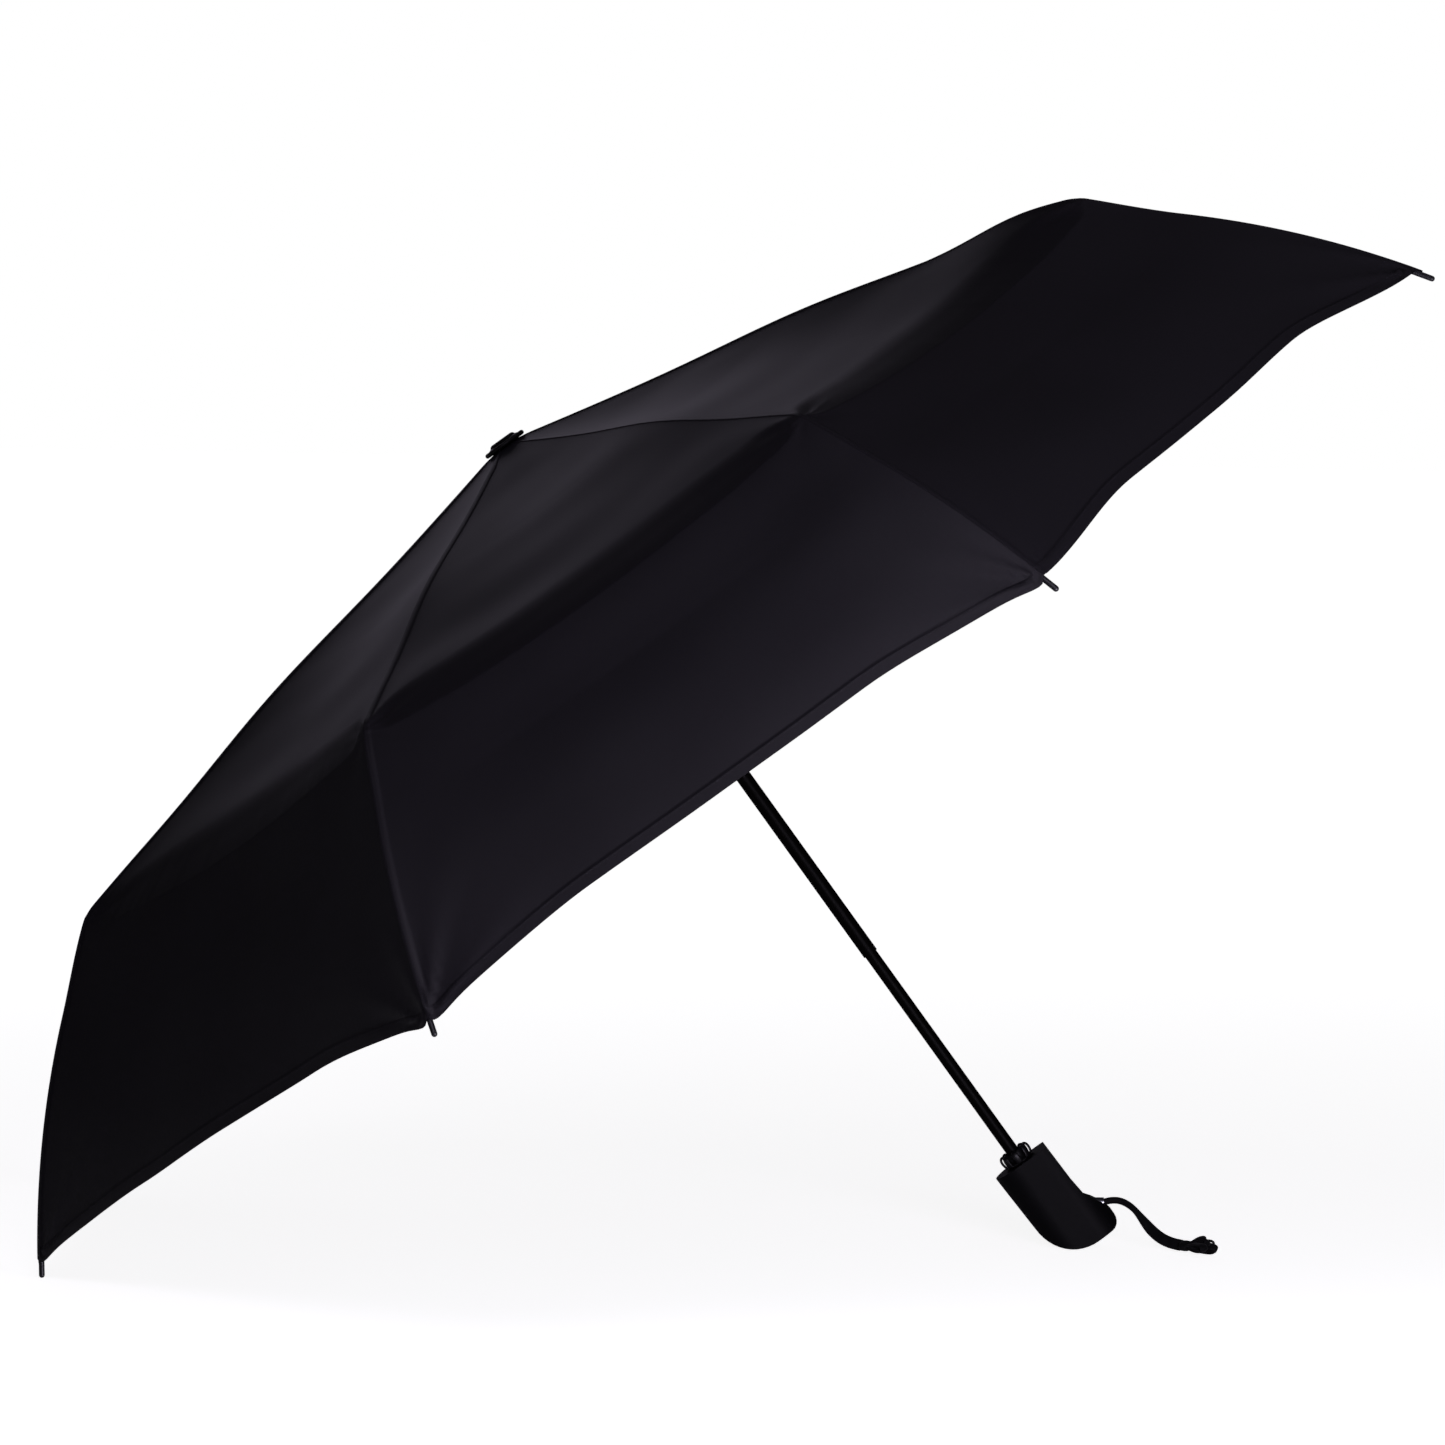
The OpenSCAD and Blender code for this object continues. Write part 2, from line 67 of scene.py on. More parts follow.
# The umbrella's own frame, in mm: its top on the axis of the shaft, z towards the cap
ribs = dict(count=8, crownR=11, crownDrop=7.4, upperL=183, middleL=180, outerL=202,
            roofSlope=11.9, skirtSlope=34, skirtBend=21, hingeOffset=1.6, tipBare=8)
shaftUp = Vector(joints["upper_tube_slide"]["axis"]).normalized()
if shaftUp.z < 0:
    shaftUp.negate()
north = Vector((0, 1, 0))
east = north.cross(shaftUp)
wireLow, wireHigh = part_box("crown_wire")
apex = (wireLow + wireHigh) / 2 + shaftUp * ribs["crownDrop"] * mm
turn = Matrix((east, north, shaftUp)).transposed()


def hexColor(code):
    channels = [int(code[i:i + 2], 16) / 255 for i in (1, 3, 5)]
    return tuple(c / 12.92 if c <= 0.04045 else ((c + 0.055) / 1.055) ** 2.4 for c in channels) + (1,)


def newMaterial(name, **values):
    material = bpy.data.materials.new(name)
    material.use_nodes = True
    shader = material.node_tree.nodes["Principled BSDF"]
    for key, value in values.items():
        shader.inputs[key.replace("_", " ")].default_value = value
    return material, shader


def addNode(material, kind, links=(), inputs=(), **settings):
    tree = material.node_tree
    node = tree.nodes.new(kind)
    for key, value in settings.items():
        setattr(node, key, value)
    for socket, value in inputs:
        node.inputs[socket].default_value = value
    for socket, source in links:
        tree.links.new(source, node.inputs[socket])
    return node


def addPiece(name, bm, material):
    mesh = bpy.data.meshes.new(name)
    bm.to_mesh(mesh)
    bm.free()
    mesh.shade_smooth()
    mesh.materials.append(material)
    piece = bpy.data.objects.new(name, mesh)
    scene.collection.objects.link(piece)
    return piece


# Camera
view = dict(lens=169.4, distance=3.946, target=(-0.0043, 0, 0.3028), azimuth=0.95, elevation=3.08,
            roll=0.93)


def makeCamera():
    az, el, roll = (math.radians(view[k]) for k in ("azimuth", "elevation", "roll"))
    ahead = Vector((math.sin(az) * math.cos(el), math.cos(az) * math.cos(el), -math.sin(el)))
    right = ahead.cross(Vector((0, 0, 1))).normalized()
    up = right.cross(ahead)
    right, up = (right * math.cos(roll) + up * math.sin(roll),
                 up * math.cos(roll) - right * math.sin(roll))
    data = bpy.data.cameras.new("camera")
    data.lens, data.sensor_width, data.clip_end = view["lens"], 36, 60
    camera = bpy.data.objects.new("camera", data)
    camera.matrix_world = Matrix.Translation(Vector(view["target"]) - ahead * view["distance"]) @ \
        Matrix((right, up, -ahead)).transposed().to_4x4()
    scene.collection.objects.link(camera)
    scene.camera = camera


makeCamera()
print("camera placed")


# Wrist strap: nylon tape that leaves the toe bunched and then lies flatter
def makeStrapNylon():
    # Woven nylon tape: dull black with a fine diagonal braid, each strand about 1 mm wide
    material, shader = newMaterial("wovenNylonTape", Base_Color=hexColor("#0a0a0b"), Roughness=0.72,
                                   Specular_IOR_Level=0.15, Sheen_Weight=0.03, Sheen_Roughness=0.5)
    place = addNode(material, "ShaderNodeTexCoord").outputs["Object"]
    strands = [addNode(material, "ShaderNodeMapping", [("Vector", place)],
                       [("Rotation", (0, 0, math.radians(angle)))]) for angle in (20, -70)]
    waves = [addNode(material, "ShaderNodeTexWave", [("Vector", s.outputs[0])],
                     [("Scale", 1 / (1.0 * mm) / 20), ("Distortion", 0.6), ("Detail", 1)])
             for s in strands]
    both = addNode(material, "ShaderNodeMath", [(0, waves[0].outputs["Fac"]), (1, waves[1].outputs["Fac"])],
                   operation="MULTIPLY")
    bump = addNode(material, "ShaderNodeBump", [("Height", both.outputs[0])],
                   [("Strength", 0.8), ("Distance", 0.25 * mm)])
    # the colour follows the braid's height and is darker in the low grooves between strands: painted shade
    # in the grooves
    tint = addNode(material, "ShaderNodeMix", [("Factor", both.outputs[0])],
                   [("A", hexColor("#040405")), ("B", hexColor("#0b0b0d"))], data_type="RGBA")
    material.node_tree.links.new(tint.outputs["Result"], shader.inputs["Base Color"])
    material.node_tree.links.new(bump.outputs[0], shader.inputs["Normal"])
    return material


# bindAt and bindSwell shape the binding; a loop is (spread and raised in degrees, share of loopL, roll)
strap = dict(width=6.8, thick=2.2, startWidth=4.0, startThick=4.0, sides=18, between=5, startIn=0.4,
             route=((0, 0, 0), (3, 0, 0.9), (6, 0, 1.3), (9, -0.5, 1.2), (12, -1.5, 0.4), (15, -3, -1.1),
                    (18, -5, -3.4), (21, -7.5, -6.6), (24, -10.5, -10.2), (27, -13.5, -13.6),
                    (30.5, -17, -16.6), (34.5, -20.5, -18.9), (39, -24, -20.3), (44, -27.5, -21)),
             endTurn=-35, bindWidth=8.2, bindThick=5.6, bindSides=24,
             bindAt=(0.1, 0.5, 1.4, 2.6, 3.8, 4.6, 5.0), bindSwell=(0.86, 0.97, 1.0, 1.03, 1.0, 0.97, 0.86),
             loops=((-26, 2, 1.0, 0.2), (-7, 24, 0.86, -0.4), (8, -4, 1.05, 0.5), (26, 12, 0.9, -0.2),
                    (2, 42, 0.7, 0.3)),
             loopStart=4.0, loopL=17, loopHeight=2.9, loopWidth=5.6, loopThick=1.5, loopSides=10,
             loopSteps=22, floorGap=1.0)
eyeletLow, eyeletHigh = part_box("strap_eyelet")
strapStart = Vector((eyeletHigh.x - strap["startIn"] * mm, 0, (eyeletLow.z + eyeletHigh.z) / 2))
strapRoute = [strapStart + Vector(p) * mm for p in strap["route"]]


def smoothRoute(points, between):
    route = []
    for a in range(len(points) - 1):
        p0, p1, p2, p3 = (points[min(max(a + k, 0), len(points) - 1)] for k in (-1, 0, 1, 2))
        for t in (step / between for step in range(between)):
            route.append(0.5 * (2 * p1 + (p2 - p0) * t + (2 * p0 - 5 * p1 + 4 * p2 - p3) * t * t
                                + (3 * p1 - p0 - 3 * p2 + p3) * t ** 3))
    return route + [points[-1]]


def sweepTape(bm, route, sizeAt, wideAt, sides):
    # rings across the route, bridged one to the next; wideAt gives the direction of the tape's width
    last, previous = len(route) - 1, None
    for k, point in enumerate(route):
        along = (route[min(k + 1, last)] - route[max(k - 1, 0)]).normalized()
        wide = wideAt(k / last)
        wide = (wide - along * wide.dot(along)).normalized()
        width, thick = sizeAt(k / last)
        axes = Matrix((wide * width / 2, along.cross(wide) * thick / 2, along)).transposed().to_4x4()
        ring = bmesh.ops.create_circle(bm, segments=sides, radius=1, cap_ends=k in (0, last),
                                       matrix=Matrix.Translation(point) @ axes)["verts"]
        edges = list({e for v in ring for e in v.link_edges})
        if previous:
            bmesh.ops.bridge_loops(bm, edges=previous + edges)
        previous = edges
    bmesh.ops.recalc_face_normals(bm, faces=bm.faces)


def mix(a, b, t):
    # from a to b with a soft start and end
    t = min(max(t, 0), 1)
    return a + (b - a) * t * t * (3 - 2 * t)


def makeStrap(material):
    route = smoothRoute(strapRoute, strap["between"])
    bm = bmesh.new()
    sweepTape(bm, route,
              lambda t: (mix(strap["startWidth"], strap["width"], (t - 0.3) / 0.5) * mm,
                         mix(strap["startThick"], strap["thick"], (t - 0.3) / 0.5) * mm),
              lambda t: Vector((0, 1, 0)).lerp(Vector((0.3, 0.35, 1)), mix(0, 1, (t - 0.25) / 0.6)),
              strap["sides"])
    tape = addPiece("strap_tape", bm, material)
    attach(tape, "handle")
    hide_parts("wrist_strap")
    return tape, route


def loopLine(start, out, lift, far):
    # a loop of tape that leaves start, goes out to far and comes back, kept off the floor
    line = []
    for k in range(strap["loopSteps"] + 1):
        a = 2 * math.pi * k / strap["loopSteps"]
        away = (1 - math.cos(a)) / 2
        height = strap["loopHeight"] * mm * math.sin(a) * (0.35 + 0.65 * away)
        point = start + out * far * away + lift * height
        line.append(Vector((point.x, point.y, max(point.z, strap["floorGap"] * mm))))
    return line


def makeStrapEnd(material, end):
    # the gathered end: a stitched binding and five short loops of the same tape, spread on the floor
    turned = math.radians(strap["endTurn"])
    ahead = Vector((math.cos(turned), math.sin(turned), 0))
    side = Vector((-ahead.y, ahead.x, 0))
    upward = Vector((0, 0, 1))
    bm = bmesh.new()
    swell, last = strap["bindSwell"], len(strap["bindSwell"]) - 1
    sweepTape(bm, [end + ahead * (k * mm) for k in strap["bindAt"]],
              lambda t: (strap["bindWidth"] * mm * swell[round(t * last)],
                         strap["bindThick"] * mm * swell[round(t * last)]),
              lambda t: side + upward * 0.35, strap["bindSides"])
    for spread, raised, reach, roll in strap["loops"]:
        out = (ahead * math.cos(math.radians(spread)) + side * math.sin(math.radians(spread))
               + upward * math.sin(math.radians(raised)) * 0.6).normalized()
        across = out.cross(upward).normalized()
        lift = (upward * math.cos(roll) + across * math.sin(roll)).normalized()
        loop = loopLine(end + ahead * strap["loopStart"] * mm, out, lift, strap["loopL"] * reach * mm)
        sweepTape(bm, loop, lambda t: (strap["loopWidth"] * mm, strap["loopThick"] * mm),
                  lambda t: out.cross(lift), strap["loopSides"])
    knot = addPiece("strap_gathered_end", bm, material)
    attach(knot, "handle")
    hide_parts("strap_knot")
    return knot


nylonTape = makeStrapNylon()
strapTape, strapLine = makeStrap(nylonTape)
strapEnd = makeStrapEnd(nylonTape, strapLine[-1])
print("wrist strap made")


# Canopy: one stretched cloth over the ribs, cut into strips that fold with the ribs
# In mm. The hem rises by hemRise between two ribs, a little otherwise in the gores and sides named after it,
# and dips at the corners; the cloth bows up over the middle hinges and knees and sags between the ribs
cover = dict(height=4.7, skirtHeight=2.1, lowerOver=60, holeR=6.6, thick=0.32, crownEnd=30,
             hemRise=9.5, hemReach=0.55, gorePull={7: 4.5}, hemPull={(5, 1): -3, (8, -1): 3},
             cornerDip=4, dipReach=6, tightGore=7, hemW=8, hemH=0.3, hemEdge=0.6, seamW=3.2, seamH=0.55,
             midRise=4.2, midShift=12, midReach=80, kneeRise=0.8, highKnee={8: 6.5},
             kneeShift=34, kneeReach=42,
             sagRoof=4.5, sagKnee=6.0, sagSkirt=7.5, sagSkirtAt=70, sagHem=2.5,
             pucker=0.4, puckerReach=20, kneePucker=0.25, kneePuckerReach=14, wave=0.12,
             columns=32, columnPower=1.3, blendFrom=0.12, blendTo=0.7, leastFlat=0.0101)
rows = dict(coarse=4.5, fine=1.6, fineBefore=34, fineAfter=36, coarseGap=37,
            hem=(14, 11, 8.9, 8.3, 8.0, 5.0, 2.0, 0.5, 0))
slackWaves = dict(across=(0.035, -0.05, 0.021, 0.075, -0.03, 0.012),
                  along=(0.03, 0.018, -0.052, 0.02, 0.061, 0.09))
halfStep = 180 / ribs["count"]


def slopeDir(slope):
    return np.array((math.cos(math.radians(slope)), -math.sin(math.radians(slope))))


def slopeUp(slope):
    return np.array((math.sin(math.radians(slope)), math.cos(math.radians(slope))))


def ribOutline():
    # the cloth's line over a rib: straight to the knee, then round the bent outer rib
    roof, skirt, bend, h = ribs["roofSlope"], ribs["skirtSlope"], ribs["skirtBend"], cover["height"]
    crown = np.array((ribs["crownR"], -ribs["crownDrop"]))
    kneeHinge = crown + (ribs["upperL"] + ribs["middleL"]) * slopeDir(roof)
    kneeHinge = kneeHinge - ribs["hingeOffset"] * slopeUp(roof)
    kink = (roof + skirt) / 2
    knee = kneeHinge + (ribs["hingeOffset"] + h) / math.cos(math.radians(kink - roof)) * slopeUp(kink)
    radius = ribs["outerL"] / (2 * math.sin(math.radians(bend / 2)))
    centre = kneeHinge + ribs["hingeOffset"] * slopeUp(skirt) - radius * slopeUp(skirt)
    hole = crown + slopeDir(roof) * (cover["holeR"] - ribs["crownR"]) / slopeDir(roof)[0]
    hole = hole + np.array((0, h / math.cos(math.radians(roof))))
    perMm = math.degrees(1 / radius)
    hemSlope = skirt + bend - ribs["tipBare"] * perMm
    slopes = np.arange(skirt, hemSlope + 4, 0.5 * perMm)
    arc = np.array([centre + (radius + h) * slopeUp(s) for s in slopes])
    roofL = np.linalg.norm(knee - hole)
    line = np.array([hole + slopeDir(roof) * d for d in np.arange(-20, roofL, 0.5)] + [knee] + list(arc[1:]))
    v = np.concatenate(([0], np.cumsum(np.linalg.norm(np.diff(line, axis=0), axis=1)))) - 20
    end = v[len(v) - len(arc)] + math.radians(hemSlope - skirt) * (radius + h)
    return v, line, float(roofL), float(end)


lineV, lineP, kneeV, hemV = ribOutline()
midV = kneeV - ribs["middleL"]
crownV = (cover["crownEnd"] - cover["holeR"]) / math.cos(math.radians(ribs["roofSlope"]))


def softened(v, points, at, reach):
    # a corner of the line, rounded over reach to each side
    areas = (points[1:] + points[:-1]) / 2 * np.diff(v)[:, None]
    total = np.concatenate(([[0, 0]], np.cumsum(areas, axis=0)))
    near = np.abs(v - at) < reach
    low, high = v[near] - reach, v[near] + reach
    mean = [(np.interp(high, v, total[:, k]) - np.interp(low, v, total[:, k])) / (2 * reach) for k in (0, 1)]
    points = points.copy()
    points[near] = np.stack(mean, axis=1)
    return points


outlines = {}


def outlineAt(share):
    # over a rib the cloth turns at the knee; between two ribs it cuts the corner with a flat band
    key = round(float(share), 4)
    if key not in outlines:
        near, far = mix(0, 1, share / 0.14), 1 - (1 - min(share, 1)) ** 2
        before, after = 4 + 9 * near + 12 * far, 3 + 7 * near + 7 * far
        keep = (lineV < kneeV - before) | (lineV > kneeV + after)
        points = np.stack([np.interp(lineV, lineV[keep], lineP[keep, k]) for k in (0, 1)], axis=1)
        points = softened(lineV, points, kneeV - before, 3 + 9 * far)
        outlines[key] = softened(lineV, points, kneeV + after, 1.0 + 1.2 * far)
    return outlines[key]


def smoothStep(x):
    x = np.clip(x, 0, 1)
    return x * x * (3 - 2 * x)


def lateral(column, width):
    # distance of a column from the rib: three over the seam, the rest out to the middle of the gore
    seam = np.minimum(1, width / 14)
    atSeam = np.interp(column, (0, 1, 2, 3), (0, 0.3, cover["seamW"], cover["seamW"] + 0.35)) * seam
    share = np.clip((column - 3) / (cover["columns"] - 3), 0, None)
    out = atSeam + (width - atSeam) * share ** cover["columnPower"]
    return out, share


def hemAt(rib, side, gore, d, t):
    # where the cloth ends: straight at the ribs' tips, higher between them
    end = hemV - (cover["hemRise"] + cover["gorePull"].get(gore, 0)) * smoothStep(t / cover["hemReach"])
    end = end - cover["hemPull"].get((rib, side), 0) * np.sin(math.pi * t) ** 2
    if gore != cover["tightGore"]:
        end = end + cover["cornerDip"] * d / cover["dipReach"] * np.exp(1 - d / cover["dipReach"])
    return end


def puckers(rib, side, d, v, e):
    # folds that run out of the tip where the cloth is sewn to it, and out of the knee
    rng = np.random.default_rng(10 * rib + (side > 0))
    a, b, c, f = rng.uniform(0.6, 1.25), rng.uniform(0, 6.28), rng.uniform(0.6, 1.2), rng.uniform(0, 6.28)
    rho, angle, reach = np.hypot(e, d), np.arctan2(d, np.maximum(e, 1e-6)), cover["puckerReach"]
    folds = np.sin(angle * 8 + b) + 0.4 * np.sin(angle * 13 + 2 * b)
    atTip = cover["pucker"] * a * folds * rho / reach * np.exp(1 - rho / reach) \
        * smoothStep(angle / 0.2) * smoothStep((1.62 - angle) / 0.25)
    past = v - kneeV - 6
    rho, angle, reach = np.hypot(past, d), np.arctan2(d, np.abs(past) + 1e-6), cover["kneePuckerReach"]
    folds = np.sin(angle * 7 + f) * np.where(past > 0, 0.6, 1)
    atKnee = cover["kneePucker"] * c * folds * rho / reach * np.exp(1 - rho / reach) \
        * smoothStep(angle / 0.25) * smoothStep((1.5 - angle) / 0.3)
    return atTip + atKnee


def slackOf(gore, q, v, d):
    # slow, shallow waves of the cloth between two ribs
    phases = np.random.default_rng(500 + gore).uniform(0, 6.28, 6)
    waves = sum(np.sin(q * kx + v * kv + p)
                for kx, kv, p in zip(slackWaves["across"], slackWaves["along"], phases))
    return cover["wave"] * waves * smoothStep(d / 30) * smoothStep(v / 60)


def heightOf(rib, side, column, d, v, e, middle):
    # how far the cloth stands off its straight line: sag, seam, hem, and the bows over the hinges
    raised = -middle * np.interp(v, (0, kneeV / 2, kneeV, kneeV + cover["sagSkirtAt"], hemV),
                                 (0, cover["sagRoof"], cover["sagKnee"], cover["sagSkirt"], cover["sagHem"]))
    if side > 0:
        raised = raised + cover["seamH"] * np.interp(column, (0, 1, 2, 3), (0, 1, 1, 0)) * smoothStep(v / 12)
    atHem = smoothStep((cover["hemW"] + cover["hemEdge"] - e) / cover["hemEdge"])
    raised = raised + cover["hemH"] * atHem * smoothStep(d / 6)
    raised = raised - (cover["height"] - cover["skirtHeight"]) * smoothStep((v - kneeV) / cover["lowerOver"])
    overMid = np.exp(-((v - midV - cover["midShift"]) / cover["midReach"]) ** 2) * smoothStep(v / 30)
    raised = raised + cover["midRise"] * overMid * (1 - 0.4 * middle)
    overKnee = np.exp(-((v - kneeV + cover["kneeShift"]) / cover["kneeReach"]) ** 2) * (1 - middle)
    return raised + cover["highKnee"].get(rib, cover["kneeRise"]) * overKnee


def clothPoint(rib, side, column, v):
    # a point of the cloth in the umbrella's frame, in mm; column is counted from the rib, v from the top
    flat = np.interp(v, lineV, lineP[:, 0])
    across = math.sin(math.radians(halfStep))
    d, share = lateral(column, flat * across)
    t = d / (flat * across)
    middle = 1 - (1 - t) ** 2
    gore = rib if side > 0 else (rib - 2) % ribs["count"] + 1
    end = hemAt(rib, side, gore, d, t)
    v = np.where(v > kneeV, kneeV + (v - kneeV) * (end - kneeV) / (hemV - kneeV), v)
    line = outlineAt(share)
    r, z = (np.interp(v, lineV, line[:, k]) for k in (0, 1))
    r1, z1 = (np.interp(v + 0.6, lineV, line[:, k]) - np.interp(v - 0.6, lineV, line[:, k]) for k in (0, 1))
    size = np.hypot(r1, z1)
    q = (flat * across - d) * (-side)
    e = end - v
    raised = heightOf(rib, side, column, d, v, e, middle)
    raised = raised + puckers(rib, side, d, v, e) + slackOf(gore, q, v, d)
    r = r - raised * z1 / size / math.cos(math.radians(halfStep))
    z = z + raised * r1 / size
    middleLine = r * math.cos(math.radians(halfStep))
    sideways = r * across * (1 - t)
    az = math.radians(halfStep + (rib - 1) * 2 * halfStep + side * halfStep)
    return np.array((middleLine * math.cos(az) + side * sideways * math.sin(az),
                     middleLine * math.sin(az) - side * sideways * math.cos(az), z)), d, v, e


def rowsBetween(start, end):
    # close rows round the knee and at the hem, wider ones elsewhere
    dense = np.arange(kneeV - rows["fineBefore"], kneeV + rows["fineAfter"], rows["fine"])
    coarse = np.arange(start, end, rows["coarse"])
    near = [v for v in coarse if abs(v - kneeV) > rows["coarseGap"]] + [v for v in dense if start < v < end]
    last = [end]
    if end == hemV:
        last = [hemV - x for x in rows["hem"]]
        near = [v for v in near if v < last[0] - 2]
    return np.array(sorted(set([start] + [v for v in near if start + 0.5 < v < last[0] - 0.5] + last)))


def clothStrip(name, rib, side, start, end, material):
    # two layers of the cloth, outside and inside, joined round the edge
    v, columns = rowsBetween(start, end), np.arange(cover["columns"] + 1, dtype=float)
    bm = bmesh.new()
    normals, maps = [], []
    for layer in (0, 1):
        grid = bmesh.ops.create_grid(bm, x_segments=len(columns) - 1, y_segments=len(v) - 1,
                                     size=0.5)["verts"]
        bm.verts.index_update()
        co = np.array([g.co for g in grid])
        i = np.rint((co[:, 0] + 0.5) * (len(columns) - 1)).astype(int)
        j = np.rint((co[:, 1] + 0.5) * (len(v) - 1)).astype(int)
        block = np.zeros((len(columns), len(v), 3))
        facing, where = np.zeros_like(block), np.zeros((len(columns), len(v), 3))
        for k, column in enumerate(columns):
            p, d, along, e = clothPoint(rib, side, column, v)
            back = max(column - 0.25, 0)
            alongRow = clothPoint(rib, side, column + 0.25, v)[0] - clothPoint(rib, side, back, v)[0]
            alongLine = clothPoint(rib, side, column, v + 0.4)[0] - clothPoint(rib, side, column, v - 0.4)[0]
            n = np.cross(alongLine.T, alongRow.T) * side
            n /= np.linalg.norm(n, axis=1)[:, None]
            block[k], facing[k] = p.T - n * (layer * cover["thick"]), n if layer == 0 else -n
            where[k] = np.stack((side * d, along, e), axis=1)
        for g, x, y in zip(grid, i, j):
            g.co = apex + turn @ (Vector(block[x, y]) * mm)
        faces = list({f for g in grid for f in g.link_faces})
        if (side > 0) == (layer == 0):
            bmesh.ops.reverse_faces(bm, faces=faces)
        normals.append(facing[i, j])
        maps.append(where[i, j])
    bmesh.ops.bridge_loops(bm, edges=[edge for edge in bm.edges if edge.is_boundary])
    strip = addPiece(name, bm, material)
    mesh = strip.data
    facing = np.concatenate(normals) @ np.array(turn).T
    corner = np.zeros(len(mesh.loops), int)
    mesh.loops.foreach_get("vertex_index", corner)
    where = np.concatenate(maps)[corner] * mm
    for label, pair in (("cloth", (0, 1)), ("hem", (0, 2))):
        mesh.uv_layers.new(name=label).data.foreach_set("uv", where[:, pair].ravel())
    mesh.normals_split_custom_set_from_vertices([tuple(n) for n in facing])
    area = sum(p.area for p in mesh.polygons) / 2
    return strip, area


# each part of a strip: its start and end, its body, and the keep and sideways anchor of its fold
folding = {"crown": (0, crownV, None, 0, 0), "upper": (crownV, midV, "upper_rib", 0.03, 2.4),
           "middle": (midV, kneeV, "middle_rib", 0.016, 2.3), "outer": (kneeV, hemV, "outer_rib", 0.06, 0.0)}


def makeCanopy(material):
    for rib in range(1, ribs["count"] + 1):
        for side, letter in ((-1, "a"), (1, "b")):
            for part, (start, end, body, keep, beside) in folding.items():
                strip, area = clothStrip(f"cover_{part}_{rib}{letter}", rib, side, start, end, material)
                if body is None:
                    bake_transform(strip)
                else:
                    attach(strip, f"{body}_{rib}")
                    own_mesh(strip)
                if part == "upper" and side > 0:
                    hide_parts(f"canopy_gore_{rib}")


# Rows of stitches: their distance from the rib and from the edge, half their width, length and filled share
stitch = dict(seamAt=1.7, hemAt=7.0, half=0.3, length=2.6, filled=0.72)


def stitchRow(material, source, at, across, along):
    parts = addNode(material, "ShaderNodeSeparateXYZ", [("Vector", source)])
    off = addNode(material, "ShaderNodeMath", [(0, parts.outputs[across])], [(1, at * mm)],
                  operation="SUBTRACT")
    near = addNode(material, "ShaderNodeMath", [(0, off.outputs[0])], operation="ABSOLUTE")
    inLine = addNode(material, "ShaderNodeMath", [(0, near.outputs[0])], [(1, stitch["half"] * mm)],
                     operation="LESS_THAN")
    count = addNode(material, "ShaderNodeMath", [(0, parts.outputs[along])], [(1, stitch["length"] * mm)],
                    operation="DIVIDE")
    part = addNode(material, "ShaderNodeMath", [(0, count.outputs[0])], operation="FRACT")
    on = addNode(material, "ShaderNodeMath", [(0, part.outputs[0])], [(1, stitch["filled"])],
                 operation="LESS_THAN")
    return addNode(material, "ShaderNodeMath", [(0, inLine.outputs[0]), (1, on.outputs[0])],
                   operation="MULTIPLY").outputs[0]


def makePongee():
    # Polyester pongee: tight plain weave with a slight satin gloss, so it greys where it is seen edge-on;
    # threads are 0.15 mm and are drawn at 0.6 mm so that they can be seen
    material, shader = newMaterial("blackPolyesterPongee", Base_Color=hexColor("#151318"), Roughness=0.48,
                                   Specular_IOR_Level=0.34, Sheen_Weight=0.08, Sheen_Roughness=0.45,
                                   Sheen_Tint=hexColor("#8f8a9c"))
    cloth = addNode(material, "ShaderNodeUVMap", uv_map="cloth").outputs[0]
    hem = addNode(material, "ShaderNodeUVMap", uv_map="hem").outputs[0]
    threads = [addNode(material, "ShaderNodeTexWave", [("Vector", cloth)],
                       [("Scale", 1 / (0.6 * mm) / 20), ("Distortion", 0.4), ("Detail", 1)],
                       bands_direction=axis)
               for axis in ("X", "Y")]
    weave = addNode(material, "ShaderNodeMath",
                    [(0, threads[0].outputs["Fac"]), (1, threads[1].outputs["Fac"])], operation="MULTIPLY")
    place = addNode(material, "ShaderNodeTexCoord").outputs["Object"]
    tone = addNode(material, "ShaderNodeTexNoise", [("Vector", place)], [("Scale", 9.0), ("Detail", 3)])
    colour = addNode(material, "ShaderNodeMix", [("Factor", tone.outputs["Fac"])],
                     [("A", hexColor("#121015")), ("B", hexColor("#19161d"))], data_type="RGBA")
    rough = addNode(material, "ShaderNodeMapRange", [("Value", tone.outputs["Fac"])],
                    [("To Min", 0.45), ("To Max", 0.54)])
    seamRow = stitchRow(material, cloth, stitch["seamAt"], 0, 1)
    hemRow = stitchRow(material, hem, stitch["hemAt"], 1, 0)
    stitches = addNode(material, "ShaderNodeMath", [(0, seamRow), (1, hemRow)], operation="MAXIMUM")
    sewn = addNode(material, "ShaderNodeMix",
                   [("Factor", stitches.outputs[0]), ("A", colour.outputs["Result"])],
                   [("B", hexColor("#1d1b21"))], data_type="RGBA")
    first = addNode(material, "ShaderNodeBump", [("Height", weave.outputs[0])],
                    [("Strength", 0.25), ("Distance", 0.05 * mm)])
    second = addNode(material, "ShaderNodeBump",
                     [("Height", stitches.outputs[0]), ("Normal", first.outputs[0])],
                     [("Strength", 0.6), ("Distance", 0.15 * mm)])
    tree = material.node_tree
    tree.links.new(sewn.outputs["Result"], shader.inputs["Base Color"])
    tree.links.new(rough.outputs[0], shader.inputs["Roughness"])
    tree.links.new(second.outputs[0], shader.inputs["Normal"])
    return material


makeCanopy(makePongee())
print("canopy made")


